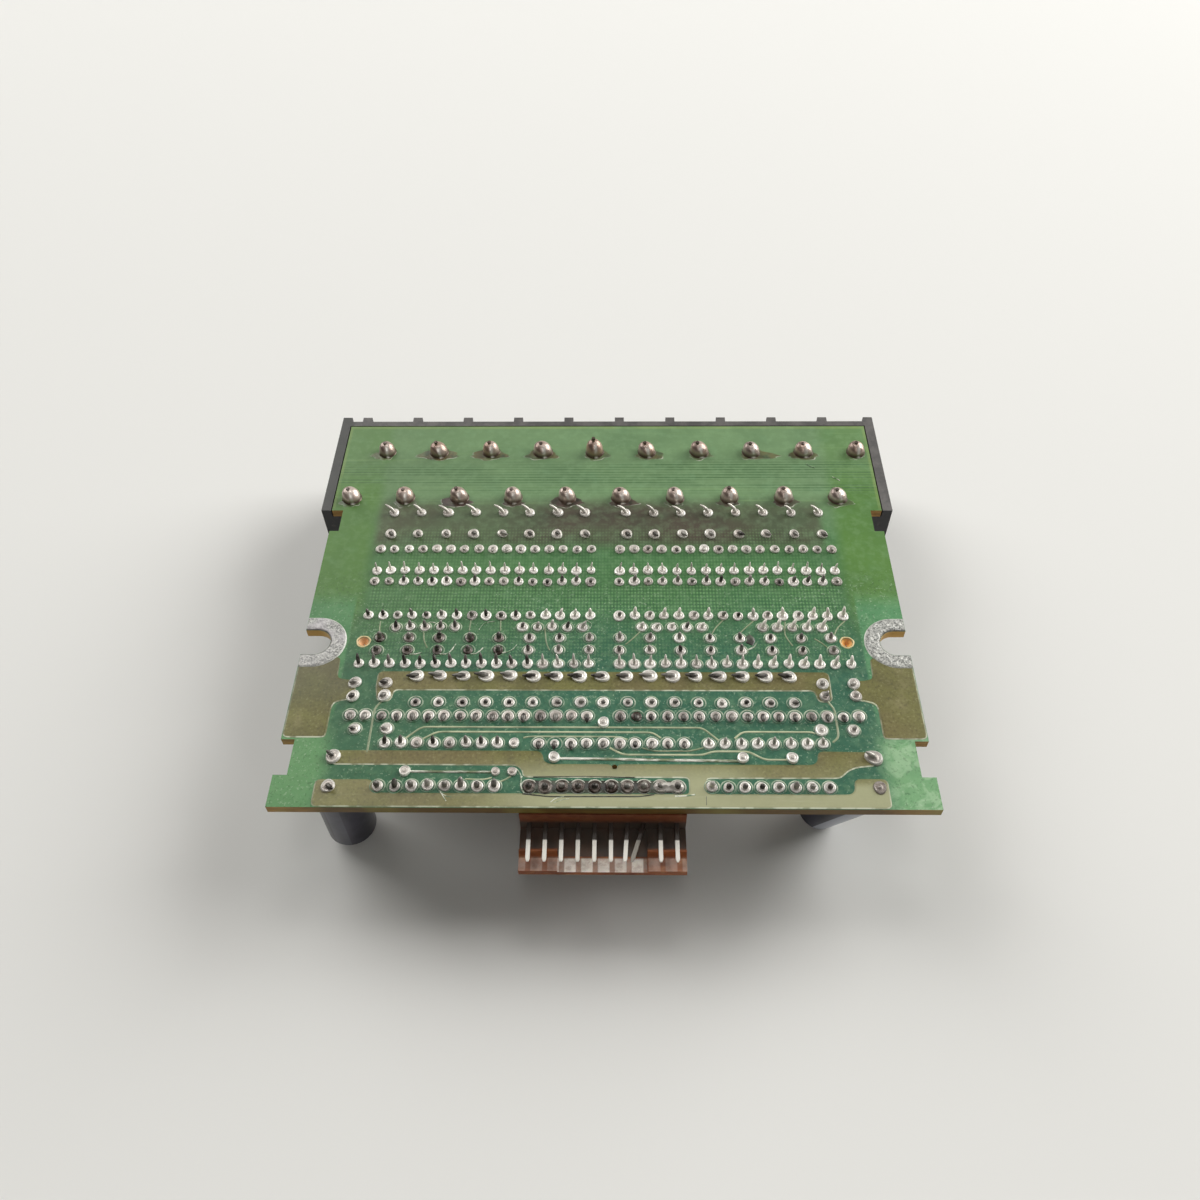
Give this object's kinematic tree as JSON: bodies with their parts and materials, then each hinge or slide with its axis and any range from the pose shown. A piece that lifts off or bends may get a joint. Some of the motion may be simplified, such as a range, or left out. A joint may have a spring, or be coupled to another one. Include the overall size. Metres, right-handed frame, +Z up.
{
  "type": "alarm indicator board",
  "caption": "Plug-in circuit card with a two-tier screw terminal block, a pin header, indicator lamps and hand-soldered joints; it stands on its parts, solder side up.",
  "frame": {"origin": "middle of the footprint, on the surface that the card stands on", "axes": "+X to the right along the terminal block, +Y from the pin header to the terminal block, +Z up out of the solder side"},
  "size_m": [0.1064, 0.0948, 0.0229],
  "materials": {
    "laminate": "solder-masked glass laminate, satin",
    "land": "rough grey tinned copper",
    "block": "dark moulded plastic",
    "contact": "plated brass strip",
    "hardware": "zinc-plated steel",
    "header": "amber-brown moulded nylon",
    "pin": "bright tinned pin",
    "can": "drawn aluminium",
    "sleeve": "dark blue-black shrink sleeve",
    "bung": "rubber",
    "lead": "tinned wire",
    "coupler": "moulded epoxy",
    "logic": "moulded epoxy",
    "network": "dipped epoxy",
    "resistor": "cement-coated",
    "diode": "glass",
    "lamp": "tinted clear lens",
    "film": "moulded box",
    "disc": "dipped disc",
    "solder": "bright solder",
    "solder_dull": "solder with burnt flux"
  },
  "bodies": {
    "root": {"board": "laminate", "slot_land_left": "land", "slot_land_right": "land", "block_housing": "block", "terminals_outer": "contact", "terminals_inner": "contact", "clamps_outer": "hardware", "clamps_inner": "hardware", "screws_outer": "hardware", "screws_inner": "hardware", "header_housing": "header", "header_pins": "pin", "header_pin_bent": "pin", "can_left": "can", "can_right": "can", "sleeve_left": "sleeve", "sleeve_right": "sleeve", "can_bungs": "bung", "can_leads": "lead", "network_leads": "lead", "resistor_leads": "lead", "diode_leads": "lead", "lamp_leads": "lead", "film_leads": "lead", "corner_leads": "lead", "coupler_legs": "lead", "logic_legs": "lead", "coupler_1": "coupler", "coupler_2": "coupler", "coupler_3": "coupler", "coupler_4": "coupler", "logic_left": "logic", "logic_right": "logic", "network_rear_1": "network", "network_rear_2": "network", "network_rear_3": "network", "network_rear_4": "network", "network_middle_1": "network", "network_middle_2": "network", "network_middle_3": "network", "network_middle_4": "network", "network_front_1": "network", "network_front_2": "network", "network_front_3": "network", "network_front_4": "network", "network_short": "network", "resistors": "resistor", "diodes": "diode", "lamps": "lamp", "film_capacitors": "film", "corner_capacitors": "disc", "solder_rear": "solder", "solder_middle": "solder", "solder_front": "solder", "solder_vias": "solder", "solder_block": "solder_dull", "solder_header": "solder_dull"}
  },
  "joints": []
}
